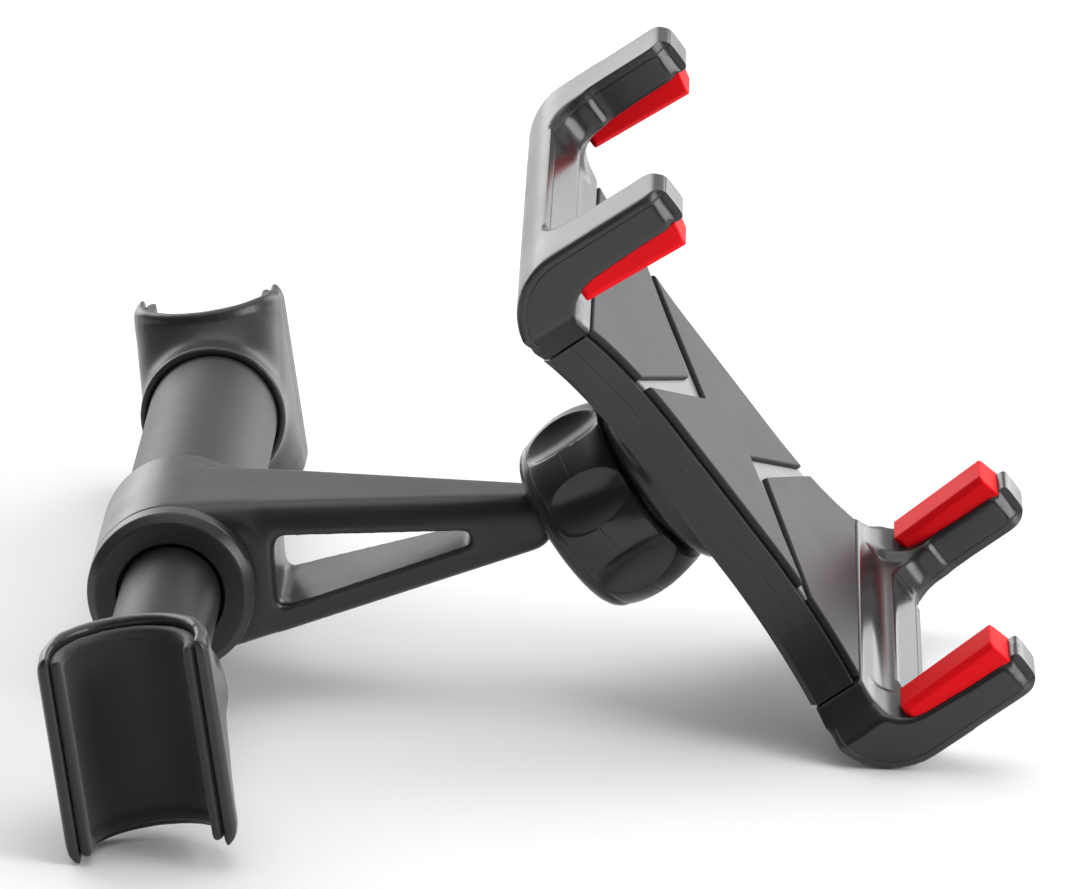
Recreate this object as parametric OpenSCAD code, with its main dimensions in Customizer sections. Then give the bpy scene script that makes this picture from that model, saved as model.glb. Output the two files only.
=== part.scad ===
// Headrest bar with a sprung console holder on a ball-jointed arm.
// The bar runs along Y between two headrest posts, the arm reaches out along +X and the
// holder stands on its end, leaning back. Everything is laid out along the bar's own axis
// first and then tilted a little, so that the whole thing rests on a table.

/* [Bar] */
// Outer diameter of the large tube
outer_tube_d = 22; // [20:0.5:24]
// Outer diameter of the small tube
inner_tube_d = 16; // [13:0.5:17]
// Wall of both tubes
tube_wall = 1.5; // [1:0.1:2]
// Length of small tube that shows between the hub and its bracket
inner_run = 49.5; // [48:1:70]
// Length of large tube that shows between the hub and its bracket
outer_run = 65; // [60:1:110]
// Length that each tube seats in its bracket
tube_seat = 6; // [4:0.5:7]
// How far the small tube can be pushed in
bar_travel = 45; // [30:1:46]
// Radial clearance of everything that slides or turns on the bar
running_gap = 0.06; // [0.04:0.01:0.1]

/* [Post brackets] */
// Width of a bracket across its channel
bracket_w = 26; // [24:1:34]
// Height of a bracket along the post
bracket_h = 33.6; // [30:0.2:46]
// Depth from a bracket's rim to the face of its boss
bracket_depth = 23; // [22:0.5:28]
// Wall of the channel
bracket_wall = 2; // [1.5:0.1:2.5]
// Thickness of the soft liner
liner_t = 1.8; // [1:0.1:2.5]
// Straight part of the channel in front of its round bottom
channel_lip = 2.5; // [1.5:0.5:4]
// Outer diameter of the boss that takes the tube
boss_d = 25; // [24.5:0.5:26]
// Size of the sloping blend above and below the boss
boss_blend = 3; // [1:0.5:4]
// Corner radius of a bracket's rim
rim_corner = 3; // [1:0.5:5]
// How far the near bracket's middle lies below the bar
near_drop = 1.6; // [0:0.1:2.4]
// How far the far bracket's middle lies below the bar
far_drop = 0.2; // [0:0.1:2.4]
// Angle that the channels lean from the bar's upright
bracket_lean = 8; // [0:1:20]

/* [Hub and arm] */
// Outer diameter of the hub
hub_d = 26.8; // [26:0.2:32]
// Length of the hub along the bar
hub_w = 36; // [34:1:44]
// Length of the hub's end ring
ring_w = 5; // [4:0.5:6]
// Bore of the end ring round the small tube
ring_bore_d = 17; // [16.6:0.1:18]
// Chamfer on the ring's outer edge
ring_chamfer = 1.4; // [0.5:0.1:2]
// Distance from the bar's axis to the centre of the ball
arm_len = 71.6; // [68:0.5:90]
// Angle that the arm rises from the hub
arm_rise = 8.2; // [0:0.1:25]
// Height of the arm where it leaves the hub
arm_root_h = 26.6; // [24:0.2:26.6]
// Height of the arm at its tip
arm_tip_h = 9.6; // [8:0.2:12]
// Thickness of the arm where it leaves the hub
arm_root_t = 26; // [20:0.5:30]
// Thickness of the arm at its tip
arm_tip_t = 10.4; // [9:0.2:14]
// Distance from the arm's tip centre to the ball
arm_tip_back = 15.1; // [15:0.1:18]
// Height of the ball above the middle line of the arm
ball_lift = 1.1; // [0:0.1:3]
// Radius of the arm's long edges
arm_edge = 2.4; // [1:0.1:3]
// Width of the border above the arm's window
window_top = 5.4; // [4:0.1:6]
// Width of the border below the arm's window
window_foot = 4.6; // [4:0.1:6]
// Distance from the bar's axis to the window's wide end
window_start = 16; // [15.5:0.5:20]
// Distance from the bar's axis to the window's narrow end
window_end = 50; // [40:0.5:50]
// Corner radius of the window
window_corner = 1.4; // [0.8:0.1:1.6]

/* [Ball joint] */
// Diameter of the ball
ball_d = 17; // [15:0.5:17]
// Diameter of the neck behind the ball
neck_d = 6.4; // [5:0.1:7]
// Drop of the neck's foot below the middle line of the arm
neck_drop = 0.8; // [0:0.1:1]
// Thickness of each of the two round liners over the ball
joint_liner_t = 1.1; // [0.9:0.1:1.3]
// Outer diameter of the split socket
socket_d = 24.6; // [24.4:0.1:25.4]
// Width of the slots in the socket
socket_slot = 1.2; // [0.8:0.1:2]
// Diameter of the lock nut over its lobes
nut_d = 33; // [31.6:0.2:36]
// Length of the lock nut
nut_w = 16.2; // [15.6:0.2:17]
// Number of lobes on the nut
nut_lobes = 7; // [5:1:8]
// Angle that the nut is turned on the socket
nut_turn = -11; // [-30:1:30]
// Radius of the scoops between the lobes
nut_scoop_r = 8; // [6:0.5:10]
// Depth of the scoops
nut_scoop_depth = 1.7; // [1:0.1:2.2]
// Diameter of the opening in the back of the nut
nut_mouth_d = 23; // [21:0.5:24]

/* [Holder body] */
// Distance from the ball's centre to the holder's front face
ball_to_face = 21.5; // [21:0.5:26]
// Angle that the holder's front face looks up
holder_rise = 35.4; // [20:0.1:40]
// Angle that the holder is turned sideways
holder_yaw = -4.8; // [-8:0.1:8]
// Angle that the holder is rolled about the way it faces
holder_roll = 8.5; // [-20:0.5:20]
// Width of the holder at its waist
waist_w = 47; // [45:0.5:49]
// Length of the straight part of the waist
waist_flat = 24; // [20:0.5:26]
// Radius of the flare from the waist to the jaws
flare_r = 39.4; // [36:0.2:46]
// Length of the body between its two jaw seams
body_l = 72; // [70:0.5:73]
// Thickness of the whole body
body_t = 9.4; // [9.2:0.1:13]
// Height of the front shell behind the plates
front_shell_t = 3.1; // [2:0.1:3.4]
// Height of the raised front plates
plate_t = 1.4; // [0.8:0.1:2]
// Width of the ledge round the plates
plate_ledge = 1; // [0.5:0.1:2]
// Distance from the centre to the point of each notch in the middle plate
notch_point = 6.3; // [4:0.1:8]
// Half the opening angle of the notches
notch_half_angle = 58.3; // [50:0.1:60]
// Half the angle of the tip of the upper and the lower plate
tip_half_angle = 62.8; // [62:0.1:68]
// Distance from the centre to the tip of the upper and the lower plate
plate_tip = 10.6; // [9.5:0.1:13]
// Thickness of the pale strips in the grooves
strip_t = 0.5; // [0.3:0.1:0.8]
// Diameter of the round foot under the socket
foot_d = 34; // [30:0.5:36]

/* [Jaws] */
// Width of the jaws over their fingers
jaw_w = 75; // [70:0.2:90]
// Width of one finger
finger_w = 11.2; // [9.5:0.1:13]
// Thickness of a finger with its cover
finger_t = 6.6; // [6:0.1:9]
// Distance from the centre to the outside of a closed jaw
jaw_reach = 51.8; // [50:0.1:65]
// Height of the finger tips above the front face
finger_h = 23.8; // [20:0.2:30]
// Radius of the jaw's outer corner
jaw_corner_r = 12; // [9:0.1:13]
// Radius of the hollow between floor and fingers
jaw_hollow_r = 5.2; // [3:0.1:6]
// Thickness of the jaw's floor
jaw_floor_t = 8.8; // [8:0.1:9]
// Height of the web between the fingers above the front face
web_h = 2; // [1:0.1:5]
// Corner radius of the gap between the fingers
gap_corner_r = 5.5; // [3:0.5:7]
// Thickness of the outer cover
cover_t = 1.5; // [1:0.1:2]
// Depth of the step in the inner side of each finger
side_step = 1.2; // [0.5:0.1:2]
// Bevel at the end of each finger's sides
tip_bevel = 1.5; // [0.5:0.1:2]
// How far the outer face leans in from corner to tip
finger_lean = 0.5; // [0:0.1:2]
// How far each jaw opens
jaw_travel = 22; // [12:1:24]
// Width of the tongue that slides in the body
tongue_w = 28; // [16:1:32]
// Length of the tongue
tongue_l = 32; // [28:0.5:34]
// Thickness of the tongue
tongue_t = 2.8; // [2:0.1:3]

/* [Pads] */
// Width of a pad
pad_w = 8.4; // [5:0.1:9]
// Thickness of a pad at the foot of its finger
pad_foot_t = 3.2; // [2:0.1:4]
// Thickness of a pad at the tip of its finger
pad_tip_t = 4.3; // [2:0.1:5]
// Length of bare finger past the pad
pad_tip_gap = 1.6; // [1:0.1:4]
// Bevel on the edges of a pad
pad_bevel = 0.9; // [0.3:0.1:1.5]

/* [Hidden] */
$fn = 96;

black = [0.16, 0.16, 0.165];
gloss_black = [0.07, 0.07, 0.075];
soft_black = [0.09, 0.09, 0.09];
tube_grey = [0.24, 0.24, 0.25];
strip_grey = [0.5, 0.5, 0.52];
pad_red = [0.86, 0.08, 0.09];

// Tilt about the bar that brings both brackets' corners and the lower jaw to one level
rest_tilt = 1.7;
// Roll along the bar that brings the lower bracket's corner up to the other's level
rest_roll = asin((near_drop - far_drop) / (2 * bracket_depth + hub_w + inner_run + outer_run));
// Place of the bar's axis: the middle of the whole thing's box, standing on the table
bar_x = -60.81;
bar_y = -25.74;
bar_z = 19.42;

over = 1;
outer_r = outer_tube_d / 2;
inner_r = inner_tube_d / 2;
bush_r = outer_r - tube_wall;
hub_r = hub_d / 2;

// Brackets
boss_r = boss_d / 2;
// How far the blend round the boss stays inside the shell and the boss
blend_in = 0.2;
// Plain shell left above and below the blend
blend_rim = 1;
shell_r = bracket_w / 2;
liner_seat_r = shell_r - bracket_wall;
post_r = liner_seat_r - liner_t;
shell_back = channel_lip + shell_r;

// Places along the bar, from the face of the hub's end ring
near_boss_y = -inner_run;
near_rim_y = near_boss_y - bracket_depth;
far_boss_y = hub_w + outer_run;
far_rim_y = far_boss_y + bracket_depth;
ring_seat = 1.5;
outer_start_y = ring_w - ring_seat;
outer_end_y = far_boss_y + tube_seat;
spring_room = 12;
inner_end_y = outer_end_y - bar_travel - spring_room;
bush_l = 12;

// Arm
arm_mid_y = hub_w / 2;
hub_end_gap = 0.2;
hub_round = 2;
near_end_round = 0.4;
near_end = arm_mid_y - ring_w - hub_end_gap;
arm_tip_x = arm_len - arm_tip_back;
arm_taper = asin((arm_root_h - arm_tip_h) / 2 / arm_tip_x);
arm_fillet = 2.4;
window_start_slant = 1;
window_end_slant = 0.5;
neck_root = 1;
neck_run = arm_tip_back - arm_tip_h / 2 + neck_root;
neck_angle = atan((ball_lift + neck_drop) / neck_run);
tang_l = 5;

// Ball joint
ball_r = ball_d / 2;
cup_in_r = ball_r + running_gap;
cup_out_r = cup_in_r + joint_liner_t;
seat_in_r = cup_out_r + running_gap;
seat_out_r = seat_in_r + joint_liner_t;
socket_in_r = seat_out_r + running_gap;
socket_r = socket_d / 2;
cup_mouth = 5;
seat_mouth = 5.4;
socket_mouth = 5.8;
socket_slots = 6;
// Length of the slots past the ball's centre
slot_past_ball = 3;
foot_h = 5.1;
foot_top_r = 13.5;
nut_gap = 0.7;
nut_rim_t = 2.4;
nut_rim_r = 14;
nut_round = 2;
back_to_ball = ball_to_face - body_t;

// Holder
waist_r = waist_w / 2;
body_r = body_l / 2;
flare_start = waist_flat / 2;
split = plate_t + front_shell_t;
back_chamfer = 1.2;
seam_gap = 0.25;
tongue_gap = 0.1;

// Jaws
jaw_r = jaw_w / 2;
finger_in = jaw_reach - finger_t;
gap_r = jaw_r - finger_w;
corner_at = jaw_reach - jaw_corner_r;
corner_h = jaw_corner_r - jaw_floor_t;
hollow_at = finger_in - jaw_hollow_r;
cover_step = 0.6;
tip_round = 1.4;
body_tip_h = finger_h - cover_t;
pad_foot_h = 3.4;
// How far a pad's foot stays clear of the hollow behind it
foot_back = 0.5;
pad_tip_h = body_tip_h - pad_tip_gap + cover_t;

// Stands a shape that was drawn round the bar's axis on the table.
module standing() {
    translate([bar_x, bar_y, bar_z]) rotate([-rest_roll, -rest_tilt, 0]) children();
}

// Turns a shape that was drawn along Z onto the bar's axis.
module along_bar(y = 0) {
    translate([0, y, 0]) rotate([-90, 0, 0]) children();
}

// The middle of the hub, with X out along the arm.
module on_arm() {
    standing() translate([0, arm_mid_y, 0]) rotate([0, -arm_rise, 0]) children();
}

// The ball's centre, with X the way the holder faces and Z up along the holder.
module at_ball() {
    on_arm() translate([arm_len, 0, ball_lift]) rotate([0, arm_rise, 0])
    rotate([holder_roll, -holder_rise, holder_yaw]) children();
}

// The middle of the holder's front face, with the same axes.
module on_holder() {
    at_ball() translate([ball_to_face, 0, 0]) children();
}

// Draws on the front face: x is sideways, y is up, and the height runs outwards.
module from_face(height) {
    translate([height, 0, 0]) rotate([90, 0, 90]) children();
}

// Draws from the side: x is the distance from the centre, y the height above the face.
module side_view(width) {
    rotate([0, -90, -90]) translate([0, 0, -width / 2]) linear_extrude(width) children();
}

module ring(outer, inner, length) {
    difference() {
        cylinder(r = outer, h = length);
        translate([0, 0, -over]) cylinder(r = inner, h = length + 2 * over);
    }
}

// The telescopic bar

module outer_tube() {
    color(tube_grey) standing() along_bar(outer_start_y)
    ring(outer_r, bush_r, outer_end_y - outer_start_y);
}

module inner_tube() {
    color(tube_grey) standing() along_bar(near_boss_y - tube_seat)
    ring(inner_r, inner_r - tube_wall, inner_end_y - near_boss_y + tube_seat);
}

// Guides the small tube where it leaves the large one.
module tube_bush() {
    color(soft_black) standing() along_bar(outer_start_y)
    ring(bush_r, inner_r + running_gap, bush_l);
}

// Rides on the inner end of the small tube.
module slide_bush() {
    color(soft_black) standing() along_bar(inner_end_y - bush_l)
    ring(bush_r - running_gap, inner_r, bush_l);
}

// Makes the small tube as thick as the bracket's bore.
module reducer_sleeve() {
    color(soft_black) standing() along_bar(near_boss_y - tube_seat)
    ring(outer_r, inner_r, tube_seat);
}

// The collar on the end of the large tube, which keeps the hub in place.
module hub_ring() {
    color(black) standing() along_bar() difference() {
        rotate_extrude() polygon([
            [ring_bore_d / 2, 0], [hub_r - ring_chamfer, 0], [hub_r, ring_chamfer],
            [hub_r, ring_w], [ring_bore_d / 2, ring_w]
        ]);
        translate([0, 0, ring_w - ring_seat]) cylinder(r = outer_r, h = ring_seat + over);
    }
}

// The post brackets, drawn with the rim on the XZ plane and the channel open towards +Y

module channel(radius, height, mouth = 0) {
    translate([0, -channel_lip, -height / 2]) {
        cylinder(r = radius, h = height);
        translate([-radius, 0, 0]) cube([2 * radius, channel_lip + mouth, height]);
    }
}

// The block that a bracket is kept inside, with four round corners when seen along Y.
module rim_block() {
    corner_x = shell_r - rim_corner;
    corner_z = bracket_h / 2 - rim_corner;
    translate([0, over, 0]) rotate([90, 0, 0]) linear_extrude(bracket_depth + over) {
        square([2 * corner_x, bracket_h], center = true);
        square([bracket_w, 2 * corner_z], center = true);
        for (x = [-corner_x, corner_x], z = [-corner_z, corner_z])
            translate([x, z]) circle(r = rim_corner);
    }
}

// The slope from the channel's back up to the boss, above and below it.
module boss_slope(drop) {
    $fn = 32;
    half_h = min(boss_r + boss_blend, bracket_h / 2 - drop - blend_rim);
    half_w = shell_r - blend_in;
    intersection() {
        hull() {
            channel(shell_r, 2 * half_h);
            translate([0, -shell_back - boss_blend, 0]) rotate([-90, 0, 0])
            cylinder(r = boss_r - blend_in, h = boss_blend);
        }
        translate([-half_w, -bracket_depth, -bracket_h])
        cube([2 * half_w, bracket_depth - channel_lip, 2 * bracket_h]);
    }
}

module bracket(drop) {
    difference() {
        union() {
            translate([0, 0, -drop]) intersection() {
                channel(shell_r, bracket_h);
                rim_block();
            }
            boss_slope(drop);
            translate([0, -bracket_depth, 0]) rotate([-90, 0, 0])
            cylinder(r = boss_r, h = bracket_depth - channel_lip - shell_r / 2);
        }
        channel(liner_seat_r, 2 * bracket_h, over);
        translate([0, -bracket_depth - over, 0]) rotate([-90, 0, 0])
        cylinder(r = outer_r, h = tube_seat + over);
    }
}

module liner(drop) {
    translate([0, 0, -drop]) intersection() {
        difference() {
            channel(liner_seat_r, bracket_h);
            channel(post_r, bracket_h + 2 * over, over);
        }
        rim_block();
    }
}

module at_far_post() {
    standing() translate([0, far_rim_y, 0]) rotate([0, -bracket_lean, 0]) children();
}

module at_near_post() {
    standing() translate([0, near_rim_y, 0]) rotate([0, -bracket_lean, 0])
    mirror([0, 1, 0]) children();
}

module far_bracket() {
    color(black) at_far_post() bracket(far_drop);
}

module far_liner() {
    color(soft_black) at_far_post() liner(far_drop);
}

module near_bracket() {
    color(black) at_near_post() bracket(near_drop);
}

module near_liner() {
    color(soft_black) at_near_post() liner(near_drop);
}

// The arm, in two halves that meet in its middle plane

// Half of a round-edged disc with its flat side on the middle plane.
module half_disc(radius, thickness) {
    rotate([90, 0, 0]) rotate_extrude($fn = 64) {
        square([radius, thickness / 2 - arm_edge]);
        square([radius - arm_edge, thickness / 2]);
        translate([radius - arm_edge, thickness / 2 - arm_edge]) intersection() {
            circle(r = arm_edge, $fn = 32);
            square(arm_edge);
        }
    }
}

module half_beam() {
    hull() {
        half_disc(arm_root_h / 2, arm_root_t);
        translate([arm_tip_x, 0, 0]) half_disc(arm_tip_h / 2, arm_tip_t);
    }
}

// Distance from the arm's middle line to its edge, at a distance from the bar.
function arm_half_h(x) = arm_root_h / 2 / cos(arm_taper) - x * tan(arm_taper);

module window() {
    rotate([90, 0, 0]) linear_extrude(arm_root_t + 2 * over, center = true)
    offset(window_corner, $fn = 32) offset(-window_corner) polygon([
        [window_start + window_start_slant, arm_half_h(window_start) - window_top],
        [window_end + window_end_slant, arm_half_h(window_end) - window_top],
        [window_end - window_end_slant, -arm_half_h(window_end) + window_foot],
        [window_start, -arm_half_h(window_start) + window_foot]
    ]);
}

// The concave ring where the arm's side meets the hub.
module hub_fillet() {
    intersection() {
        rotate([90, 0, 0]) rotate_extrude() difference() {
            square([hub_r + arm_fillet, arm_root_t / 2 + arm_fillet]);
            translate([hub_r + arm_fillet, arm_root_t / 2 + arm_fillet]) circle(r = arm_fillet);
        }
        rotate([90, 0, 0]) linear_extrude(arm_mid_y) polygon([
            [0, arm_half_h(0) - arm_edge], [2 * hub_r, arm_half_h(2 * hub_r) - arm_edge],
            [2 * hub_r, arm_edge - arm_half_h(2 * hub_r)], [0, arm_edge - arm_half_h(0)]
        ]);
    }
}

// Half the hub, from the middle plane to one end.
module half_hub(end, rounding) {
    rotate([90, 0, 0]) rotate_extrude() {
        square([hub_r, end - rounding]);
        square([hub_r - rounding, end]);
        translate([hub_r - rounding, end - rounding]) intersection() {
            circle(r = rounding);
            square(rounding);
        }
    }
}

module arm_half(end, rounding) {
    difference() {
        union() {
            half_beam();
            hub_fillet();
            half_hub(end, rounding);
        }
        translate([0, over, 0]) rotate([90, 0, 0])
        cylinder(r = outer_r + running_gap, h = hub_w);
        window();
        neck();
    }
}

// The near half ends square, just short of the collar.
module arm_near_half() {
    color(black) on_arm() difference() {
        arm_half(near_end, near_end_round);
        translate([0, -near_end, 0]) rotate([90, 0, 0]) cylinder(r = 2 * hub_r, h = arm_mid_y);
    }
}

module arm_far_half() {
    color(black) on_arm() mirror([0, 1, 0]) arm_half(arm_mid_y, hub_round);
}

// The ball and its liners

// The rod from inside the arm to the ball.
module neck() {
    translate([arm_len, 0, ball_lift]) rotate([0, -90 - neck_angle, 0])
    cylinder(r = neck_d / 2, h = neck_run / cos(neck_angle) + tang_l);
}

module ball_stud() {
    color(gloss_black) on_arm() {
        neck();
        translate([arm_len, 0, ball_lift]) sphere(r = ball_r);
    }
}

// A round liner over the ball, cut off square behind it.
module ball_liner(outer, inner, mouth) {
    rotate([0, 90, 0]) rotate_extrude() intersection() {
        difference() {
            circle(r = outer);
            circle(r = inner);
        }
        translate([0, -mouth]) square([outer, outer + mouth]);
    }
}

module ball_cup() {
    color(soft_black) at_ball() ball_liner(cup_out_r, cup_in_r, cup_mouth);
}

module ball_seat() {
    color(soft_black) at_ball() ball_liner(seat_out_r, seat_in_r, seat_mouth);
}

// The split socket on the holder's back, with its round foot.
module socket() {
    color(black) at_ball() difference() {
        union() {
            translate([-socket_mouth, 0, 0]) rotate([0, 90, 0])
            cylinder(r = socket_r, h = back_to_ball + socket_mouth);
            translate([back_to_ball - foot_h, 0, 0]) rotate([0, 90, 0])
            cylinder(r1 = foot_top_r, r2 = foot_d / 2, h = foot_h);
        }
        sphere(r = socket_in_r);
        for (i = [0:socket_slots - 1]) rotate([360 / socket_slots * i, 0, 0])
            translate([-socket_mouth - over, 0, -socket_slot / 2])
            cube([socket_mouth + over + slot_past_ball, socket_r + over, socket_slot]);
    }
}

module lock_nut() {
    nut_r = nut_d / 2;
    front = back_to_ball - foot_h - nut_gap;
    bore_r = socket_r + running_gap;
    color(gloss_black) at_ball() translate([front, 0, 0]) rotate([0, -90, 0]) difference() {
        rotate_extrude() polygon([
            [bore_r, 0], [nut_r - nut_round, 0], [nut_r, nut_round],
            [nut_r, nut_w - nut_rim_t], [nut_rim_r, nut_w],
            [nut_mouth_d / 2, nut_w], [nut_mouth_d / 2, nut_w - nut_rim_t],
            [bore_r, nut_w - nut_rim_t]
        ]);
        for (i = [0:nut_lobes - 1]) rotate(nut_turn + 360 / nut_lobes * i)
            translate([nut_r + nut_scoop_r - nut_scoop_depth, 0, -over])
            cylinder(r = nut_scoop_r, h = nut_w + 2 * over);
    }
}

// The holder's body

// Everything outside the waisted outline, drawn in if inset is above zero.
module beside_outline(inset = 0) {
    for (side = [-1, 1]) {
        for (end = [-1, 1])
            translate([side * (waist_r + flare_r), end * flare_start])
            circle(r = flare_r + inset);
        translate([side * (waist_r - inset + flare_r / 2), 0])
        square([flare_r, waist_flat], center = true);
    }
}

module body_outline(inset = 0) {
    difference() {
        square([2 * jaw_r, body_l], center = true);
        beside_outline(inset);
    }
}

// Cuts the sloping edge along the back of both sides.
module back_edges() {
    for (side = [-1, 1]) {
        for (end = [-1, 1])
            translate([side * (waist_r + flare_r), end * flare_start, 0])
            cylinder(r1 = flare_r + back_chamfer, r2 = flare_r, h = back_chamfer);
        rotate([90, 0, 0]) linear_extrude(waist_flat, center = true) polygon([
            [side * (waist_r - back_chamfer), 0], [side * (waist_r + over), 0],
            [side * (waist_r + over), back_chamfer], [side * waist_r, back_chamfer]
        ]);
    }
}

module rear_shell() {
    channel_w = tongue_w + 2 * tongue_gap;
    channel_t = tongue_t + 2 * tongue_gap;
    color(black) on_holder() from_face(-body_t) difference() {
        linear_extrude(body_t - split) body_outline();
        back_edges();
        translate([-channel_w / 2, -body_r - over, body_t - split - channel_t])
        cube([channel_w, body_l + 2 * over, channel_t + over]);
    }
}

module front_shell() {
    color(black) on_holder() from_face(-split) linear_extrude(front_shell_t) body_outline();
}

// A notch that opens upwards or downwards from its point.
module notch(point, half_angle, direction) {
    reach = jaw_r;
    polygon([
        [0, direction * point],
        [reach, direction * (point + reach / tan(half_angle))],
        [reach, direction * 2 * body_r], [-reach, direction * 2 * body_r],
        [-reach, direction * (point + reach / tan(half_angle))]
    ]);
}

module on_front(height) {
    on_holder() from_face(-plate_t) linear_extrude(height) children();
}

module centre_plate() {
    color(black) on_front(plate_t) difference() {
        body_outline(plate_ledge);
        for (direction = [-1, 1]) notch(notch_point, notch_half_angle, direction);
    }
}

module end_plate(direction) {
    on_front(plate_t) intersection() {
        body_outline(plate_ledge);
        notch(plate_tip, tip_half_angle, direction);
    }
}

module strip(direction) {
    on_front(strip_t) difference() {
        intersection() {
            body_outline(plate_ledge);
            notch(notch_point, notch_half_angle, direction);
        }
        notch(plate_tip, tip_half_angle, direction);
    }
}

module upper_plate() {
    color(black) end_plate(1);
}

module lower_plate() {
    color(black) end_plate(-1);
}

module upper_strip() {
    color(strip_grey) strip(1);
}

module lower_strip() {
    color(strip_grey) strip(-1);
}

// The jaws, drawn as the upper one

module jaw_profile() {
    difference() {
        union() {
            translate([body_r + seam_gap, -jaw_floor_t])
            square([corner_at - body_r - seam_gap, jaw_floor_t]);
            intersection() {
                translate([corner_at, corner_h]) circle(r = jaw_corner_r);
                translate([corner_at, -jaw_floor_t]) square(jaw_corner_r);
            }
            polygon([
                [hollow_at, 0], [jaw_reach, corner_h], [jaw_reach - finger_lean, finger_h - tip_round],
                [jaw_reach - finger_lean - tip_round, finger_h], [finger_in, finger_h],
                [finger_in, jaw_hollow_r], [hollow_at, jaw_hollow_r]
            ]);
        }
        translate([hollow_at, jaw_hollow_r]) circle(r = jaw_hollow_r);
        translate([body_r, 0]) square([hollow_at - body_r, 2 * jaw_hollow_r]);
    }
}

// What lies under the cover, which wraps the outer corner, the outer face and the tip.
module under_cover() {
    outer = jaw_reach - cover_t;
    top = finger_h - cover_t;
    translate([body_r, -jaw_floor_t]) square([corner_at - body_r, 2 * finger_h]);
    intersection() {
        translate([corner_at, corner_h]) circle(r = jaw_corner_r - cover_t);
        translate([corner_at - over, -jaw_floor_t]) square(jaw_corner_r + over);
    }
    polygon([
        [corner_at - over, 0], [corner_at, corner_h], [outer, corner_h],
        [outer - finger_lean, top - tip_round], [outer - finger_lean - tip_round, top],
        [corner_at - over, top]
    ]);
}

// The jaw's outline from the front: the body's flare goes on up to the jaw's full width.
module jaw_outline() {
    difference() {
        translate([-jaw_r, body_r]) square([2 * jaw_r, jaw_reach - body_r + over]);
        beside_outline();
    }
}

// The gap between the two fingers, seen along the holder, with two round corners.
module finger_gap(foot) {
    corner_x = gap_r - gap_corner_r;
    translate([-corner_x, foot]) square([2 * corner_x, finger_h]);
    translate([-gap_r, foot + gap_corner_r]) square([2 * gap_r, finger_h]);
    for (side = [-1, 1])
        translate([side * corner_x, foot + gap_corner_r]) circle(r = gap_corner_r);
}

// The step in the inner side of a finger and the bevels at the end of both its sides.
module finger_steps() {
    foot = web_h + gap_corner_r;
    top = finger_h - cover_t;
    inner = gap_r + side_step;
    for (side = [-1, 1]) {
        polygon([
            [side * (gap_r - over), foot], [side * gap_r, foot],
            [side * inner, foot + side_step], [side * inner, top - tip_bevel],
            [side * (inner + tip_bevel), top], [side * (gap_r - over), top]
        ]);
        polygon([
            [side * (jaw_r + over), top - tip_bevel], [side * jaw_r, top - tip_bevel],
            [side * (jaw_r - tip_bevel), top], [side * (jaw_r + over), top]
        ]);
    }
}

// Draws across the jaw: x is sideways, y the height above the face.
module across_jaw() {
    rotate([0, 0, -90]) translate([0, 0, body_r]) linear_extrude(jaw_reach) children();
}

module jaw_block() {
    from_face(-jaw_floor_t - over) linear_extrude(jaw_floor_t + finger_h + 2 * over)
    jaw_outline();
}

module jaw() {
    intersection() {
        side_view(jaw_w + over) intersection() {
            jaw_profile();
            under_cover();
        }
        difference() {
            jaw_block();
            across_jaw() {
                finger_gap(web_h);
                finger_steps();
            }
        }
    }
    translate([-split - tongue_gap - tongue_t, -tongue_w / 2, body_r - tongue_l])
    cube([tongue_t, tongue_w, tongue_l + seam_gap]);
}

module cover() {
    intersection() {
        side_view(jaw_w + over) difference() {
            jaw_profile();
            under_cover();
        }
        difference() {
            jaw_block();
            across_jaw() finger_gap(web_h - cover_step);
        }
    }
}

// A pad on the inner face of a finger, with its edges bevelled.
module pad(side) {
    middle = side * (gap_r + (finger_w + side_step) / 2);
    foot = [finger_in - pad_foot_t, pad_foot_h];
    tip = [finger_in - pad_tip_t, pad_tip_h - pad_bevel];
    translate([0, middle, 0]) hull() {
        side_view(pad_w - 2 * pad_bevel) polygon([
            foot, tip, [finger_in, tip.y], [finger_in, jaw_hollow_r],
            [finger_in - foot_back, pad_foot_h]
        ]);
        side_view(pad_w) polygon([
            foot + [pad_bevel, pad_bevel], [tip.x + pad_bevel, pad_tip_h - pad_bevel],
            [finger_in, pad_tip_h], [finger_in, jaw_hollow_r],
            [finger_in - foot_back, pad_foot_h + pad_bevel]
        ]);
    }
}

module on_upper() {
    on_holder() children();
}

module on_lower() {
    on_holder() mirror([0, 0, 1]) children();
}

module upper_jaw() {
    color(gloss_black) on_upper() jaw();
}

module upper_cover() {
    color(black) on_upper() cover();
}

module upper_pad_near() {
    color(pad_red) on_upper() pad(-1);
}

module upper_pad_far() {
    color(pad_red) on_upper() pad(1);
}

module lower_jaw() {
    color(gloss_black) on_lower() jaw();
}

module lower_cover() {
    color(black) on_lower() cover();
}

module lower_pad_near() {
    color(pad_red) on_lower() pad(-1);
}

module lower_pad_far() {
    color(pad_red) on_lower() pad(1);
}

outer_tube();
far_bracket();
far_liner();
tube_bush();
hub_ring();
inner_tube();
slide_bush();
near_bracket();
near_liner();
reducer_sleeve();
arm_near_half();
arm_far_half();
ball_stud();
ball_cup();
ball_seat();
socket();
lock_nut();
rear_shell();
front_shell();
centre_plate();
upper_plate();
lower_plate();
upper_strip();
lower_strip();
upper_jaw();
upper_cover();
upper_pad_near();
upper_pad_far();
lower_jaw();
lower_cover();
lower_pad_near();
lower_pad_far();
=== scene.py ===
"""Studio picture of a headrest bar with a sprung console holder on a ball-jointed arm."""

import math

import bmesh
import bpy
from mathutils import Matrix, Vector


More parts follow.
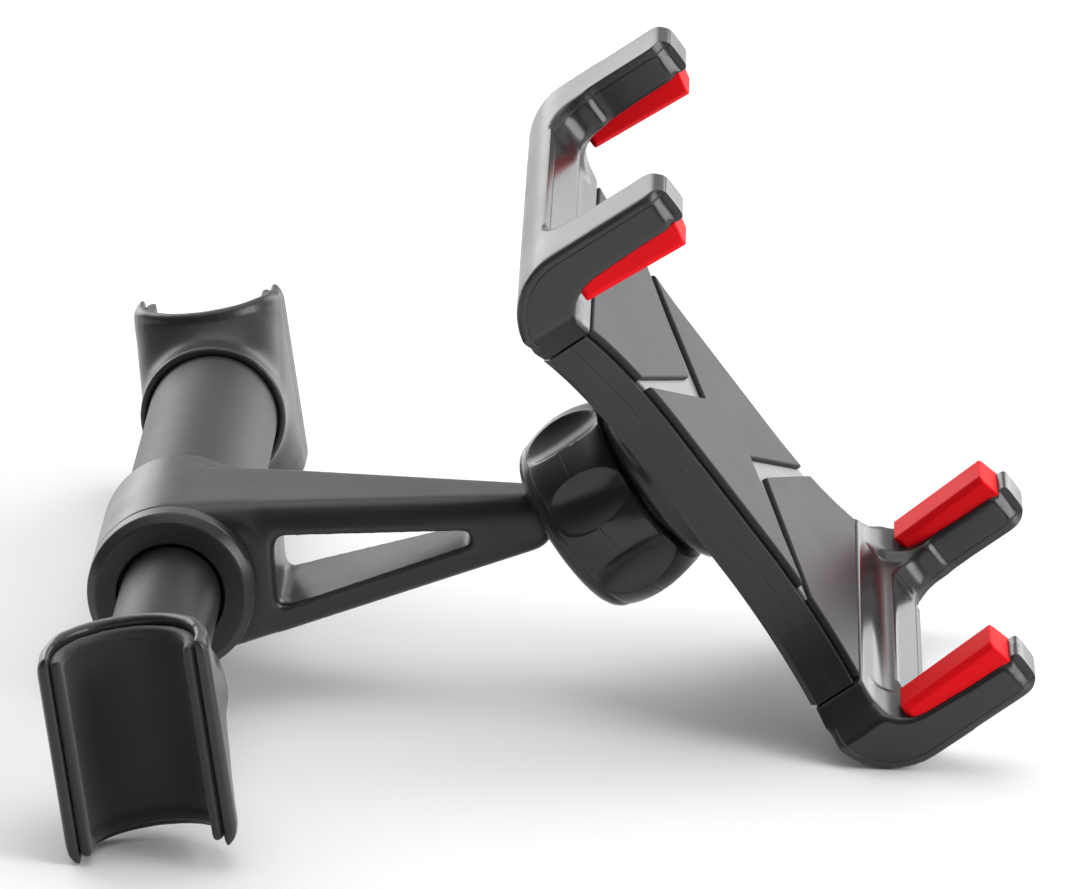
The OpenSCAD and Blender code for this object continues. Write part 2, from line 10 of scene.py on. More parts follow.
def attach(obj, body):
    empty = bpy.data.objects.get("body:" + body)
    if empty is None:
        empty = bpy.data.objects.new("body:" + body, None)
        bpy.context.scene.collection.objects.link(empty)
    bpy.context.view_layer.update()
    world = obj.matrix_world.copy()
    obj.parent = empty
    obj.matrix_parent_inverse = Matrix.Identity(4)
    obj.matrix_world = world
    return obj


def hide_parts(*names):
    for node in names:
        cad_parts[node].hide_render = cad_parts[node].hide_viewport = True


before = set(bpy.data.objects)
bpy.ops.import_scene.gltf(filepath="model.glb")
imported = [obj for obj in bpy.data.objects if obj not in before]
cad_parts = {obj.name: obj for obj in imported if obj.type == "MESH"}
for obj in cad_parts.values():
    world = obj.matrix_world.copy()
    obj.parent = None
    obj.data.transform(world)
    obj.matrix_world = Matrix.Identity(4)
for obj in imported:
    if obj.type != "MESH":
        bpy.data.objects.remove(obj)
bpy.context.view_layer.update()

# Sizes, in millimetres, as the part has them

MM = 0.001
BAR_X, BAR_Y, BAR_Z = -60.81, -25.74, 19.42
REST_TILT = math.radians(1.7)
INNER_RUN = 49.5
OUTER_RUN = 65.0
HUB_W = 36.0
HUB_R = 13.4
RING_W = 5.0
RING_CHAMFER = 1.4
RING_SEAT = 1.5
RING_BORE_R = 8.5
OUTER_TUBE_R = 11.0
BRACKET_DEPTH = 23.0
BRACKET_H = 33.6
BRACKET_R = 13.0
BRACKET_WALL = 2.0
BRACKET_LEAN = math.radians(8)
LINER_T = 1.8
CHANNEL_LIP = 2.5
BOSS_R = 12.5
NEAR_DROP = 1.6
FAR_DROP = 0.2
REST_ROLL = math.asin(
    (NEAR_DROP - FAR_DROP) / (2 * BRACKET_DEPTH + HUB_W + INNER_RUN + OUTER_RUN)
)
ARM_RISE = math.radians(8.2)
ARM_LEN = 71.6
BALL_LIFT = 1.1
BALL_TO_FACE = 21.5
BODY_T = 9.4
HOLDER_RISE = math.radians(35.4)
HOLDER_YAW = math.radians(-4.8)
HOLDER_ROLL = math.radians(8.5)
BACK_TO_BALL = BALL_TO_FACE - BODY_T
FOOT_R = 17.0
FOOT_TOP_R = 13.5
FOOT_H = 5.1
SOCKET_R = 12.3
NUT_R = 16.5
NUT_W = 16.2
NUT_GAP = 0.7
NUT_LOBES = 7
NUT_TURN = math.radians(-11)
NUT_MOUTH_R = 11.5
NUT_RIM_T = 2.4
JAW_REACH = 51.8
JAW_HALF_W = 37.5
JAW_CORNER_R = 12.0
JAW_FLOOR_T = 8.8
COVER_T = 1.5
WEB_H = 2.0
FINGER_H = 23.8
FINGER_LEAN = 0.5
FINGER_IN = 45.2
FINGER_GAP_R = 26.3
HOLLOW_R = 5.2

# Sizes of the softer forms that are drawn here, in millimetres: first the brackets' rim, the
# hollow between their shell and boss, and the bead of their liners

RIM_CORNER_R = 3.0
RIM_W = 1.3
RIM_PUSH = 0.1
SADDLE_IN, SADDLE_OUT = 0.7, 5.5
SADDLE_DEPTH = 1.2
SADDLE_CLEAR = 2.0
SADDLE_END = 0.8
LINER_SHORT = 1.2
BEAD_W = 1.0
BEAD_SLOPE = 1.5
FIELD_SUNK = 0.6

# The hollow at the arm's root: from and to round the bar, and in and out along it

ROOT_FROM, ROOT_TO = 12.6, 19.0
ROOT_IN, ROOT_OUT = 8.0, 17.0

# The nut's barrel and scoops; its outlines are points of radius and distance along the nut

CROWN_DROP = 2.1
SCOOP_R = 6.5
SCOOP_DEPTH = 2.5
SCOOP_END = 6.8
SCOOP_BLEND = 0.001
BARREL_WALL = 2.0
BARREL_FROM = 0.7
FRONT_W = 2.6
PARTING = ((-0.15, 0.0), (0.0, 0.06), (0.15, 0.0))
NUT_BACK = ((14.2, 0.0), (14.8, 0.25))
NUT_FRONT = ((15.05, 0.2), (15.1, 0.7), (14.85, 1.3), (14.4, 1.9), (13.7, 2.4))

# The jaws' fingers, the web between them and the groove under the cover

GAP_FLOOR = 7.5
WEB_OUT = 5.5
WEB_SKIN = 0.9
WEB_SUNK = 0.2
SIDE_STEP = 1.2
TIP_BEVEL = 1.7
BEVEL_AT = 21.0
RIM_H = 0.5
RIM_R = 6.8
RIM_DEPTH = 2.5
RIM_REACH = 12.0
FINGER_DIP = 0.2
GROOVE_HALF_W = 0.16
GROOVE_DEPTH = 0.12

# How finely the pieces are drawn: cells in millimetres, steps of a full turn, metres, radians

BRACKET_CELL = 0.42
LINER_CELL = 0.4
ARM_CELL = 0.36
JAW_CELL = 0.4
ROUND_STEPS = 128
NUT_STEPS = 504
NUT_ROWS = 28
MERGE_WITHIN = 2e-6
SMOOTH_UP_TO = math.radians(42)


def turned(x, y, z):
    """A turn about X, then Y, then Z."""
    return (
        Matrix.Rotation(z, 4, "Z")
        @ Matrix.Rotation(y, 4, "Y")
        @ Matrix.Rotation(x, 4, "X")
    )


def moved(x, y, z):
    return Matrix.Translation((x, y, z))


def eased(share):
    """A share held between 0 and 1 that starts and stops gently."""
    share = min(1.0, max(0.0, share))
    return share * share * (3 - 2 * share)


# Places: each one turns sizes drawn round a part of the object into the row frame

STANDING = moved(BAR_X, BAR_Y, BAR_Z) @ turned(-REST_ROLL, -REST_TILT, 0)
ON_ARM = STANDING @ moved(0, HUB_W / 2, 0) @ turned(0, -ARM_RISE, 0)
AT_BALL = (
    ON_ARM
    @ moved(ARM_LEN, 0, BALL_LIFT)
    @ turned(0, ARM_RISE, 0)
    @ turned(HOLDER_ROLL, -HOLDER_RISE, HOLDER_YAW)
)
ON_HOLDER = AT_BALL @ moved(BALL_TO_FACE, 0, 0)
FAR_POST = (
    STANDING
    @ moved(0, HUB_W + OUTER_RUN + BRACKET_DEPTH, 0)
    @ turned(0, -BRACKET_LEAN, 0)
)
NEAR_POST = (
    STANDING
    @ moved(0, -INNER_RUN - BRACKET_DEPTH, 0)
    @ turned(0, -BRACKET_LEAN, 0)
    @ Matrix.Scale(-1, 4, (0, 1, 0))
)


# Finishes


def links(tree, *pairs):
    for a, b in pairs:
        tree.links.new(a, b)


def moulded(
    name,
    colour,
    roughness,
    grain_mm,
    grain_depth,
    spread=0.05,
    worn=0.15,
    specular=0.5,
    fuzz=0.0,
):
    """Plastic or rubber from a mould: fine grain, cloudy roughness and slightly paler edges."""
    mat = bpy.data.materials.new(name)
    mat.use_nodes = True
    tree = mat.node_tree
    shader = tree.nodes["Principled BSDF"]
    shader.inputs["Specular IOR Level"].default_value = specular
    shader.inputs["Sheen Weight"].default_value = fuzz
    shader.inputs["Sheen Roughness"].default_value = 0.5
    place = tree.nodes.new("ShaderNodeTexCoord")

    grain = tree.nodes.new("ShaderNodeTexNoise")
    grain.inputs["Scale"].default_value = 1 / (grain_mm * MM)
    grain.inputs["Detail"].default_value = 3
    bump = tree.nodes.new("ShaderNodeBump")
    bump.inputs["Strength"].default_value = 1.0
    bump.inputs["Distance"].default_value = grain_depth * MM
    links(
        tree,
        (place.outputs["Object"], grain.inputs["Vector"]),
        (grain.outputs["Fac"], bump.inputs["Height"]),
        (bump.outputs["Normal"], shader.inputs["Normal"]),
    )

    cloud = tree.nodes.new("ShaderNodeTexNoise")
    cloud.inputs["Scale"].default_value = 70
    cloud.inputs["Detail"].default_value = 5
    rough = tree.nodes.new("ShaderNodeMapRange")
    rough.inputs["From Min"].default_value = 0.3
    rough.inputs["From Max"].default_value = 0.7
    rough.inputs["To Min"].default_value = roughness - spread
    rough.inputs["To Max"].default_value = roughness + spread
    links(
        tree,
        (place.outputs["Object"], cloud.inputs["Vector"]),
        (cloud.outputs["Fac"], rough.inputs["Value"]),
        (rough.outputs["Result"], shader.inputs["Roughness"]),
    )

    edge = tree.nodes.new("ShaderNodeNewGeometry")
    paler = tree.nodes.new("ShaderNodeMapRange")
    paler.inputs["From Min"].default_value = 0.52
    paler.inputs["From Max"].default_value = 0.62
    paler.inputs["To Min"].default_value = 0.0
    paler.inputs["To Max"].default_value = worn
    tone = tree.nodes.new("ShaderNodeMix")
    tone.data_type = "RGBA"
    tone.inputs["A"].default_value = (*colour, 1)
    tone.inputs["B"].default_value = (*[min(1.0, c * 2.2 + 0.01) for c in colour], 1)
    shade = tree.nodes.new("ShaderNodeMix")
    shade.data_type = "RGBA"
    shade.blend_type = "MULTIPLY"
    shade.inputs["Factor"].default_value = 0.25
    links(
        tree,
        (edge.outputs["Pointiness"], paler.inputs["Value"]),
        (paler.outputs["Result"], tone.inputs["Factor"]),
        (tone.outputs["Result"], shade.inputs["A"]),
        (cloud.outputs["Fac"], shade.inputs["B"]),
        (shade.outputs["Result"], shader.inputs["Base Color"]),
    )
    return mat


body_plastic = moulded(
    "satin body plastic", (0.026, 0.025, 0.026), 0.31, 0.35, 0.008, specular=0.42
)
plate_plastic = moulded(
    "fine plate plastic",
    (0.030, 0.029, 0.031),
    0.46,
    0.22,
    0.012,
    spread=0.02,
    specular=0.2,
)
gloss_plastic = moulded("glossy jaw plastic", (0.028, 0.027, 0.028), 0.20, 0.6, 0.002)
nut_plastic = moulded("polished nut plastic", (0.022, 0.022, 0.022), 0.24, 0.5, 0.006)
tube_paint = moulded(
    "satin tube paint", (0.032, 0.032, 0.033), 0.46, 0.25, 0.008, spread=0.02, specular=0.3
)
# Painted shade: the same satin tube paint, darkened for the inner tube, which lies in the hub's
# shade
shaded_tube_paint = moulded(
    "tube paint with painted shade", (0.012, 0.012, 0.012), 0.42, 0.25, 0.008, spread=0.02, specular=0.2
)
liner_rubber = moulded(
    "soft liner rubber", (0.020, 0.020, 0.020), 0.62, 0.3, 0.03, fuzz=0.2
)
bush_plastic = moulded("bush plastic", (0.02, 0.02, 0.02), 0.5, 0.4, 0.01)
ball_metal = moulded("black ball", (0.02, 0.02, 0.02), 0.2, 0.8, 0.002)
strip_plastic = moulded("pale strip plastic", (0.24, 0.24, 0.25), 0.42, 0.35, 0.01)
pad_rubber = moulded(
    "red pad rubber", (0.97, 0.004, 0.010), 0.6, 0.3, 0.006, worn=0.02, specular=0.12
)


def jaw_plastic():
    """Satin on the cover and glossy below it, with the fine parting line between them."""
    mat = moulded("two-part jaw plastic", (0.034, 0.034, 0.035), 0.30, 0.4, 0.004)
    tree = mat.node_tree
    shader = tree.nodes["Principled BSDF"]
    satin = shader.inputs["Roughness"].links[0].from_socket
    tone = shader.inputs["Base Color"].links[0].from_socket
    grain = shader.inputs["Normal"].links[0].from_node

    depth = tree.nodes.new("ShaderNodeAttribute")
    depth.attribute_name = "skin_depth"
    below = tree.nodes.new("ShaderNodeMapRange")
    below.inputs["From Min"].default_value = COVER_T - 0.05
    below.inputs["From Max"].default_value = COVER_T + 0.05
    rough = tree.nodes.new("ShaderNodeMix")
    rough.inputs["B"].default_value = 0.22
    darker = tree.nodes.new("ShaderNodeMix")
    darker.data_type = "RGBA"
    darker.inputs["B"].default_value = (0.020, 0.019, 0.020, 1)
    links(
        tree,
        (depth.outputs["Fac"], below.inputs["Value"]),
        (below.outputs["Result"], rough.inputs["Factor"]),
        (below.outputs["Result"], darker.inputs["Factor"]),
        (satin, rough.inputs["A"]),
        (tone, darker.inputs["A"]),
        (rough.outputs["Result"], shader.inputs["Roughness"]),
        (darker.outputs["Result"], shader.inputs["Base Color"]),
    )

    past = tree.nodes.new("ShaderNodeMath")
    past.operation = "SUBTRACT"
    past.inputs[1].default_value = COVER_T
    either = tree.nodes.new("ShaderNodeMath")
    either.operation = "ABSOLUTE"
    groove = tree.nodes.new("ShaderNodeMapRange")
    groove.interpolation_type = "SMOOTHSTEP"
    groove.inputs["From Max"].default_value = GROOVE_HALF_W
    dent = tree.nodes.new("ShaderNodeBump")
    dent.inputs["Strength"].default_value = 1.0
    dent.inputs["Distance"].default_value = GROOVE_DEPTH * MM
    links(
        tree,
        (depth.outputs["Fac"], past.inputs[0]),
        (past.outputs["Value"], either.inputs[0]),
        (either.outputs["Value"], groove.inputs["Value"]),
        (groove.outputs["Result"], dent.inputs["Height"]),
        (grain.outputs["Normal"], dent.inputs["Normal"]),
        (dent.outputs["Normal"], shader.inputs["Normal"]),
    )
    return mat


jaw_finish = jaw_plastic()


# Making and placing pieces


def place_piece(bm, name, body, finish, nodes):
    """Turns a finished bmesh, in metres in the row frame, into a piece that rides on its body."""
    mesh = bpy.data.meshes.new(name)
    bm.to_mesh(mesh)
    bm.free()
    mesh.shade_smooth()
    mesh.set_sharp_from_angle(angle=SMOOTH_UP_TO)
    mesh.materials.append(finish)
    piece = bpy.data.objects.new(name, mesh)
    bpy.context.scene.collection.objects.link(piece)
    even = piece.modifiers.new("even shading", "WEIGHTED_NORMAL")
    even.keep_sharp = True
    even.weight = 80
    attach(piece, body)
    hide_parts(*nodes)


def drawn_at(bm, place):
    """Brings a shape drawn in millimetres to its place, with its faces pointing outwards."""
    bm.transform(Matrix.Scale(MM, 4) @ place)
    bmesh.ops.remove_doubles(bm, verts=bm.verts, dist=MERGE_WITHIN)
    bmesh.ops.recalc_face_normals(bm, faces=bm.faces)


def spun(profile, steps):
    """A closed profile of (radius, height) points spun once round Z."""
    bm = bmesh.new()
    points = [bm.verts.new((r, 0, z)) for r, z in profile]
    edges = [bm.edges.new((a, b)) for a, b in zip(points, points[1:] + points[:1])]
    bmesh.ops.spin(
        bm,
        geom=points + edges,
        cent=(0, 0, 0),
        axis=(0, 0, 1),
        angle=2 * math.pi,
        steps=steps,
        use_merge=True,
    )
    return bm


def sharp_edges(bm, angle=35):
    limit = math.radians(angle)
    return [e for e in bm.edges if e.is_manifold and e.calc_face_angle(0) > limit]


def rounded(bm, edges, width, segments):
    """Rounds some edges by a width in the mesh's own unit."""
    bmesh.ops.bevel(
        bm,
        geom=edges,
        offset=width,
        offset_type="OFFSET",
        segments=segments,
        profile=0.5,
        affect="EDGES",
        material=-1,
        clamp_overlap=False,
    )


def solid_of(node):
    """A merged copy of a node's shape, with its flat faces whole again."""
    bm = bmesh.new()
    bm.from_mesh(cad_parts[node].data)
    bmesh.ops.remove_doubles(bm, verts=bm.verts, dist=MERGE_WITHIN)
    bmesh.ops.dissolve_limit(
        bm, angle_limit=math.radians(0.5), verts=bm.verts, edges=bm.edges
    )
    return bm


def softened(node, body, finish, width, segments=3):
    """A node's shape with its edges rounded by a width in millimetres, as a mould leaves them."""
    bm = solid_of(node)
    rounded(bm, sharp_edges(bm), width * MM, segments)
    bmesh.ops.recalc_face_normals(bm, faces=bm.faces)
    place_piece(bm, node + "_piece", body, finish, [node])


# The collar on the end of the large tube


def hub_ring():
    ring = spun(
        [
            (RING_BORE_R, 0),
            (HUB_R - RING_CHAMFER, 0),
            (HUB_R, RING_CHAMFER),
            (HUB_R, RING_W),
            (OUTER_TUBE_R, RING_W),
            (OUTER_TUBE_R, RING_W - RING_SEAT),
            (RING_BORE_R, RING_W - RING_SEAT),
        ],
        ROUND_STEPS,
    )
    drawn_at(ring, STANDING @ turned(-math.pi / 2, 0, 0))
    rounded(ring, sharp_edges(ring, 30), 0.3 * MM, 3)
    place_piece(
        ring, "hub_ring_piece", "outer_bar", body_plastic, ["hub_ring"]
    )


hub_ring()

# Castings: a node's shape as fine even faces, which can be smoothed and drawn on


def fine_skin(place, cell_mm, *nodes):
    """Some nodes as one shape, in millimetres in their own place, with small even faces."""
    bm = bmesh.new()
    for node in nodes:
        bm.from_mesh(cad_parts[node].data)
    bmesh.ops.remove_doubles(bm, verts=bm.verts, dist=MERGE_WITHIN)
    bm.transform((Matrix.Scale(MM, 4) @ place).inverted())
    mesh = bpy.data.meshes.new("rough")
    bm.to_mesh(mesh)
    bm.free()
    rough = bpy.data.objects.new("rough", mesh)
    bpy.context.scene.collection.objects.link(rough)
    cells = rough.modifiers.new("cells", "REMESH")
    cells.mode = "VOXEL"
    cells.voxel_size = cell_mm
    bpy.context.view_layer.update()
    graph = bpy.context.evaluated_depsgraph_get()
    fine = bmesh.new()
    fine.from_object(rough, graph)
    bpy.data.objects.remove(rough)
    bpy.data.meshes.remove(mesh)
    return fine


def smooth(bm, verts, times):
    for _ in range(times):
        bmesh.ops.smooth_vert(
            bm,
            verts=verts,
            factor=0.5,
            use_axis_x=True,
            use_axis_y=True,
            use_axis_z=True,
        )


# The post brackets: a half-round shell that flows into its boss, and a soft liner with a bead


def rim_distance(p, drop, radius):
    """How far a point of a bracket lies from the rim, measured round its corners."""
    ends, lips = BRACKET_H / 2 - abs(p.z + drop), -p.y
    if ends < radius and lips < radius:
        return radius - math.hypot(radius - ends, radius - lips)
    return min(ends, lips)


def post_bracket(node, body, at_post, drop):
    """The shell and its boss, with the slope between them drawn into one hollow curve."""
    shell = fine_skin(at_post, BRACKET_CELL, node)
    saddle = []
    rim = []
    for v in shell.verts:
        from_boss = math.hypot(v.co.x, v.co.z)
        from_channel = math.hypot(v.co.x, v.co.y + CHANNEL_LIP)
        from_rim = rim_distance(v.co, drop, RIM_CORNER_R)
        by_boss = BOSS_R - SADDLE_IN < from_boss < BOSS_R + SADDLE_OUT
        by_boss = by_boss and from_channel > BRACKET_R - SADDLE_DEPTH
        on_back = -BRACKET_DEPTH + SADDLE_END < v.co.y < -BRACKET_R * 0.5
        if by_boss and on_back and from_rim > SADDLE_CLEAR:
            saddle.append(v)
        if from_rim < RIM_W:
            rim.append(v)
    smooth(shell, saddle, 60)
    smooth(shell, rim, 3)
    smooth(shell, shell.verts, 4)
    shell.normal_update()
    for v in rim:
        v.co += RIM_PUSH * v.normal
    smooth(shell, shell.verts, 1)
    drawn_at(shell, at_post)
    place_piece(shell, node + "_piece", body, body_plastic, [node])


post_bracket("far_bracket", "outer_bar", FAR_POST, FAR_DROP)
post_bracket("near_bracket", "inner_bar", NEAR_POST, NEAR_DROP)


def post_liner(node, body, at_post, drop):
    """Shorter than its bracket, with its field sunk a little inside the bead round its edge."""
    liner = fine_skin(at_post, LINER_CELL, node)
    for v in liner.verts:
        v.co.z = (v.co.z + drop) * (1 - 2 * LINER_SHORT / BRACKET_H) - drop
    smooth(liner, liner.verts, 6)
    post_r = BRACKET_R - BRACKET_WALL - LINER_T
    for v in liner.verts:
        out = Vector((v.co.x, min(0.0, v.co.y + CHANNEL_LIP), 0))
        if out.length > post_r + 0.7 * LINER_T:
            continue
        edge = rim_distance(v.co, drop, RIM_CORNER_R + LINER_SHORT) - LINER_SHORT
        v.co += out.normalized() * FIELD_SUNK * eased((edge - BEAD_W) / BEAD_SLOPE)
    drawn_at(liner, at_post)
    place_piece(liner, node + "_piece", body, liner_rubber, [node])


post_liner("far_liner", "outer_bar", FAR_POST, FAR_DROP)
post_liner("near_liner", "inner_bar", NEAR_POST, NEAR_DROP)

# The arm: two halves glued into one soft-edged casting, hollow where it meets the hub


def arm():
    both = fine_skin(ON_ARM, ARM_CELL, "arm_near_half", "arm_far_half")
    root = []
    for v in both.verts:
        from_bar = math.hypot(v.co.x, v.co.z)
        at_side = ROOT_IN < abs(v.co.y) < ROOT_OUT
        if ROOT_FROM < from_bar < ROOT_TO and at_side and v.co.x > 0:
            root.append(v)
    smooth(both, root, 40)
    smooth(both, both.verts, 9)
    drawn_at(both, ON_ARM)
    place_piece(
        both,
        "arm_piece",
        "arm",
        body_plastic,
        ["arm_near_half", "arm_far_half"],
    )


arm()

# The body of the holder, its raised plates and the pale strips in its grooves

for shell in ("rear_shell", "front_shell"):
    softened(shell, "holder", body_plastic, 0.12, 2)
for plate in ("centre_plate", "upper_plate", "lower_plate"):
    softened(plate, "holder", plate_plastic, 0.4)
for strip in ("upper_strip", "lower_strip"):
    softened(strip, "holder", strip_plastic, 0.1, 2)

# The lock nut


def lock_nut():
    """A barrel with hollow scoops between its lobes, which run out before both ends."""
    bore_r = SOCKET_R + 0.06
    middle = 0.45 * NUT_W
    front_at = NUT_W - FRONT_W

    def crown(along):
        return NUT_R - CROWN_DROP * ((along - 0.46 * NUT_W) / (0.5 * NUT_W)) ** 2

    skin = list(NUT_BACK)
    for i in range(NUT_ROWS + 1):
        along = BARREL_FROM + (front_at - BARREL_FROM) * i / NUT_ROWS
        skin.append((crown(along), along))
    skin = [point for point in skin if abs(point[1] - middle) > 0.2]
    skin += [(crown(middle) - drop, middle + off) for off, drop in PARTING]
    skin.sort(key=lambda point: point[1])
    skin += [(radius, front_at + along) for radius, along in NUT_FRONT]
    skin.append((13.0, NUT_W))
    nut = spun(
        [
            (bore_r, 0),
            *skin,
            (NUT_MOUTH_R, NUT_W),
            (NUT_MOUTH_R, NUT_W - NUT_RIM_T),
            (bore_r, NUT_W - NUT_RIM_T),
        ],
        NUT_STEPS,
    )
    scoop_at = NUT_R + SCOOP_R - SCOOP_DEPTH
    step = 2 * math.pi / NUT_LOBES
    for v in nut.verts:
        radius = math.hypot(v.co.x, v.co.y)
        angle = math.atan2(v.co.y, v.co.x) - NUT_TURN
        angle -= step * round(angle / step)
        inside = SCOOP_R**2 - (scoop_at * math.sin(angle)) ** 2
        if radius < NUT_R - BARREL_WALL or inside <= 0:
            continue
        floor = scoop_at * math.cos(angle) - math.sqrt(inside)
        floor += SCOOP_DEPTH * ((v.co.z - SCOOP_END) / SCOOP_END) ** 2
        floor -= NUT_R - crown(v.co.z)
        gap = radius - floor
        depth = 0.5 * (gap + math.sqrt(gap * gap + SCOOP_BLEND))
        v.co.x *= (radius - depth) / radius
        v.co.y *= (radius - depth) / radius
    front = BACK_TO_BALL - FOOT_H - NUT_GAP
    drawn_at(nut, AT_BALL @ moved(front, 0, 0) @ turned(0, -math.pi / 2, 0))
    place_piece(nut, "lock_nut_piece", "nut", nut_plastic, ["lock_nut"])


lock_nut()

# The socket's foot


def socket_foot():
    """The round foot that carries the socket on the holder's back, with a domed edge."""
    inner = SOCKET_R + 0.3
    foot = spun(
        [
            (inner, 0),
            (inner, FOOT_H + 0.02),
            (FOOT_TOP_R + 0.3, FOOT_H + 0.02),
            (FOOT_TOP_R + 1.5, FOOT_H - 0.35),
            (FOOT_TOP_R + 2.6, FOOT_H - 1.2),
            (FOOT_TOP_R + 3.25, FOOT_H - 2.4),
            (FOOT_R, FOOT_H - 3.8),
            (FOOT_R, 0),
        ],
        ROUND_STEPS,
    )
    drawn_at(foot, AT_BALL @ moved(BACK_TO_BALL, 0, 0) @ turned(0, -math.pi / 2, 0))
    rounded(foot, sharp_edges(foot, 50), 0.2 * MM, 2)
    place_piece(foot, "socket_foot", "holder", nut_plastic, [])


socket_foot()

# The jaws: soft-edged castings with a cover over the outer corner, outer face and tips


def skin_depth(far, height):
    """How deep a point lies below the cover's outer skin; the floor has no cover."""
    corner_at = JAW_REACH - JAW_CORNER_R
    corner_h = JAW_CORNER_R - JAW_FLOOR_T
    if far < corner_at:
        return max(height + JAW_FLOOR_T, corner_at - far + COVER_T)
    if height < corner_h:
        return JAW_CORNER_R - math.hypot(far - corner_at, height - corner_h)
    lean = FINGER_LEAN * (height - corner_h) / (FINGER_H - corner_h)
    return JAW_REACH - lean - far


def below_inner(far, height, face, radius):
    """Depth below a finger's inner face and the hollow at its root, and the way out."""
    centre = face - radius
    if height > radius:
        return far - face, (-1, 0)
    if far < centre:
        return -height, (0, 1)
    out = math.hypot(far - centre, height - radius)
    return out - radius, ((centre - far) / out, (radius - height) / out)


def shaped_finger(far, height, side):
    """Bevels the tip, levels the inner side and gives the root a wider hollow."""
    above_gap = height > GAP_FLOOR and far > FINGER_IN - 2
    if above_gap:
        bevel = min(max(height - BEVEL_AT, 0), TIP_BEVEL)
        step = min(height - GAP_FLOOR, SIDE_STEP)
        side = min(max(side, FINGER_GAP_R + step + bevel), JAW_HALF_W - bevel)
    on_web = side < FINGER_GAP_R - WEB_OUT and far > FINGER_IN - 1
    if on_web and height > WEB_H - WEB_SKIN:
        height = WEB_H - WEB_SUNK
    old, _ = below_inner(far, height, FINGER_IN, HOLLOW_R)
    up_finger = min(1.0, max(0.0, (height - HOLLOW_R) / (FINGER_H - HOLLOW_R)))
    dip = FINGER_DIP * math.sin(math.pi * up_finger)
    new, way = below_inner(far, height, FINGER_IN - RIM_H + dip, RIM_R)
    if far > FINGER_IN - RIM_REACH and height > -RIM_DEPTH and old < RIM_DEPTH:
        push = (new - old) * eased((side - FINGER_GAP_R + 1) / 2)
        push *= 1 - max(old, 0.0) / RIM_DEPTH
        far += way[0] * push
        height += way[1] * push
    return far, height, side


def jaw(end, body):
    """A jaw and its cover as one casting, which carries the depth below the cover's skin."""
    both = fine_skin(ON_HOLDER, JAW_CELL, f"{end}_jaw", f"{end}_cover")
    depth = both.verts.layers.float.new("skin_depth")
    soft = []
    for v in both.verts:
        height, y, z = v.co
        far, height, side = shaped_finger(abs(z), height, abs(y))
        v.co = (height, math.copysign(side, y), math.copysign(far, z))
        in_finger = side > FINGER_GAP_R and far > FINGER_IN - 6
        if height > WEB_H + 1 or in_finger:
            soft.append(v)
    smooth(both, soft, 8)
    smooth(both, both.verts, 3)
    for v in both.verts:
        v[depth] = skin_depth(abs(v.co.z), v.co.x)
    drawn_at(both, ON_HOLDER)
    place_piece(
        both,
        f"{end}_jaw_piece",
        body,
        jaw_finish,
        [f"{end}_jaw", f"{end}_cover"],
    )


for end, jaw_body in (("upper", "top_jaw"), ("lower", "bottom_jaw")):
    jaw(end, jaw_body)
    for side in ("near", "far"):
        softened(f"{end}_pad_{side}", jaw_body, pad_rubber, 0.25)


# What stays as the part has it gets its finish here


def dress(node, finish):
    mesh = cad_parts[node].data
    mesh.materials.clear()
    mesh.materials.append(finish)


dress("outer_tube", tube_paint)
# the inner tube takes the darker copy of the tube paint, which is painted shade
dress("inner_tube", shaded_tube_paint)
for bush in ("tube_bush", "slide_bush", "reducer_sleeve", "ball_cup", "ball_seat"):
    dress(bush, bush_plastic)
dress("ball_stud", ball_metal)
dress("socket", gloss_plastic)


# Floor, light and camera


def floor():
    bm = bmesh.new()
    bmesh.ops.create_grid(bm, x_segments=2, y_segments=2, size=4.0)
    mesh = bpy.data.meshes.new("floor")
    bm.to_mesh(mesh)
    bm.free()
    ground = bpy.data.objects.new("floor", mesh)
    bpy.context.scene.collection.objects.link(ground)
    paper = bpy.data.materials.new("white paper")
    paper.use_nodes = True
    shader = paper.node_tree.nodes["Principled BSDF"]
    shader.inputs["Base Color"].default_value = (0.93, 0.935, 0.94, 1)
    shader.inputs["Roughness"].default_value = 0.6
    shader.inputs["Specular IOR Level"].default_value = 0.2
    mesh.materials.append(paper)


floor()


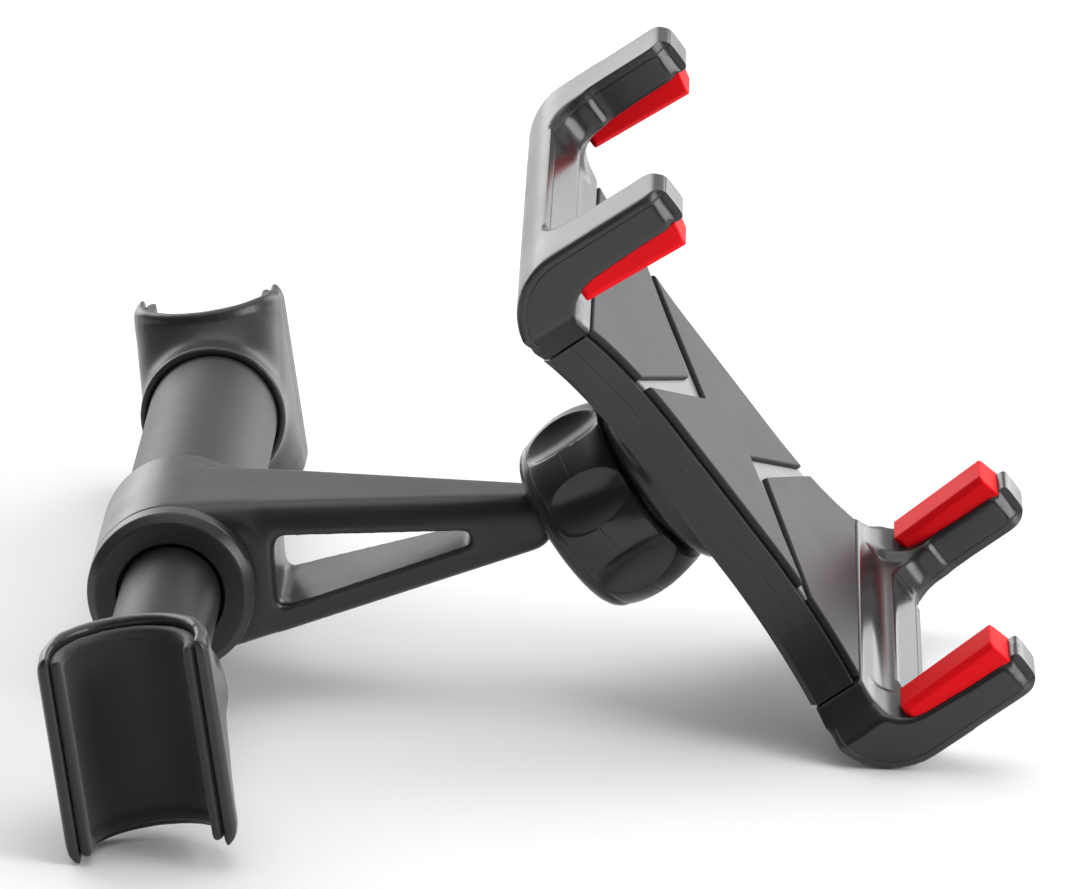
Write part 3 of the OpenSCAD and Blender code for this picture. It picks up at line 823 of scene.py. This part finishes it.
def studio():
    """A white tent, bright behind, above and to the right, and dim on the camera's side."""
    world = bpy.context.scene.world or bpy.data.worlds.new("tent")
    bpy.context.scene.world = world
    world.use_nodes = True
    tree = world.node_tree
    tree.nodes.clear()
    place = tree.nodes.new("ShaderNodeTexCoord")
    facing = tree.nodes.new("ShaderNodeVectorMath")
    facing.operation = "DOT_PRODUCT"
    facing.inputs[1].default_value = Vector((0.25, 0.65, 0.72)).normalized()
    bright = tree.nodes.new("ShaderNodeMapRange")
    bright.interpolation_type = "SMOOTHSTEP"
    bright.inputs["From Min"].default_value = -0.35
    bright.inputs["From Max"].default_value = 0.75
    bright.inputs["To Min"].default_value = 0.08
    bright.inputs["To Max"].default_value = 0.95
    back = tree.nodes.new("ShaderNodeBackground")
    out = tree.nodes.new("ShaderNodeOutputWorld")
    links(
        tree,
        (place.outputs["Generated"], facing.inputs[0]),
        (facing.outputs["Value"], bright.inputs["Value"]),
        (bright.outputs["Result"], back.inputs["Strength"]),
        (back.outputs["Background"], out.inputs["Surface"]),
    )


studio()


def lamp(name, place, target, size, power):
    light = bpy.data.lights.new(name, "AREA")
    light.shape = "SQUARE"
    light.size = size
    light.energy = power
    holder = bpy.data.objects.new(name, light)
    bpy.context.scene.collection.objects.link(holder)
    holder.location = place
    aim = Vector(target) - Vector(place)
    holder.rotation_mode = "QUATERNION"
    holder.rotation_quaternion = aim.to_track_quat("-Z", "Y")


lamp("overhead", (0, 0.2, 1.3), (0, 0, 0), 1.2, 5.5)
lamp("back left", (-0.9, 1.25, 0.62), (0, 0, 0.05), 1.2, 11)
lamp("back right", (0.95, 1.1, 0.5), (0, 0, 0.05), 1.1, 9)
lamp("right window", (1.25, -0.5, 0.6), (0, 0, 0.05), 0.8, 13)


FOCAL_PIXELS = 8000
PICTURE_PIXELS = 1080


def camera():
    """The photographer's place, worked out from the tubes, the brackets and the holder."""
    spot = Vector((92.05, -1207.80, 379.94))
    right = Vector((0.99961713, 0.02766922, 0.0))
    up = Vector((-0.00778883, 0.28139028, 0.9595618))
    turn = STANDING.to_3x3()
    data = bpy.data.cameras.new("camera")
    data.sensor_width = 36
    data.sensor_fit = "HORIZONTAL"
    data.lens = FOCAL_PIXELS / PICTURE_PIXELS * data.sensor_width
    data.clip_start, data.clip_end = 0.05, 20
    eye = bpy.data.objects.new("camera", data)
    bpy.context.scene.collection.objects.link(eye)
    right, up = turn @ right, turn @ up
    axes = Matrix((right, up, right.cross(up))).transposed().to_4x4()
    eye.matrix_world = Matrix.Translation((STANDING @ spot) * MM) @ axes
    bpy.context.scene.camera = eye


camera()
bpy.context.scene.view_settings.view_transform = "Standard"
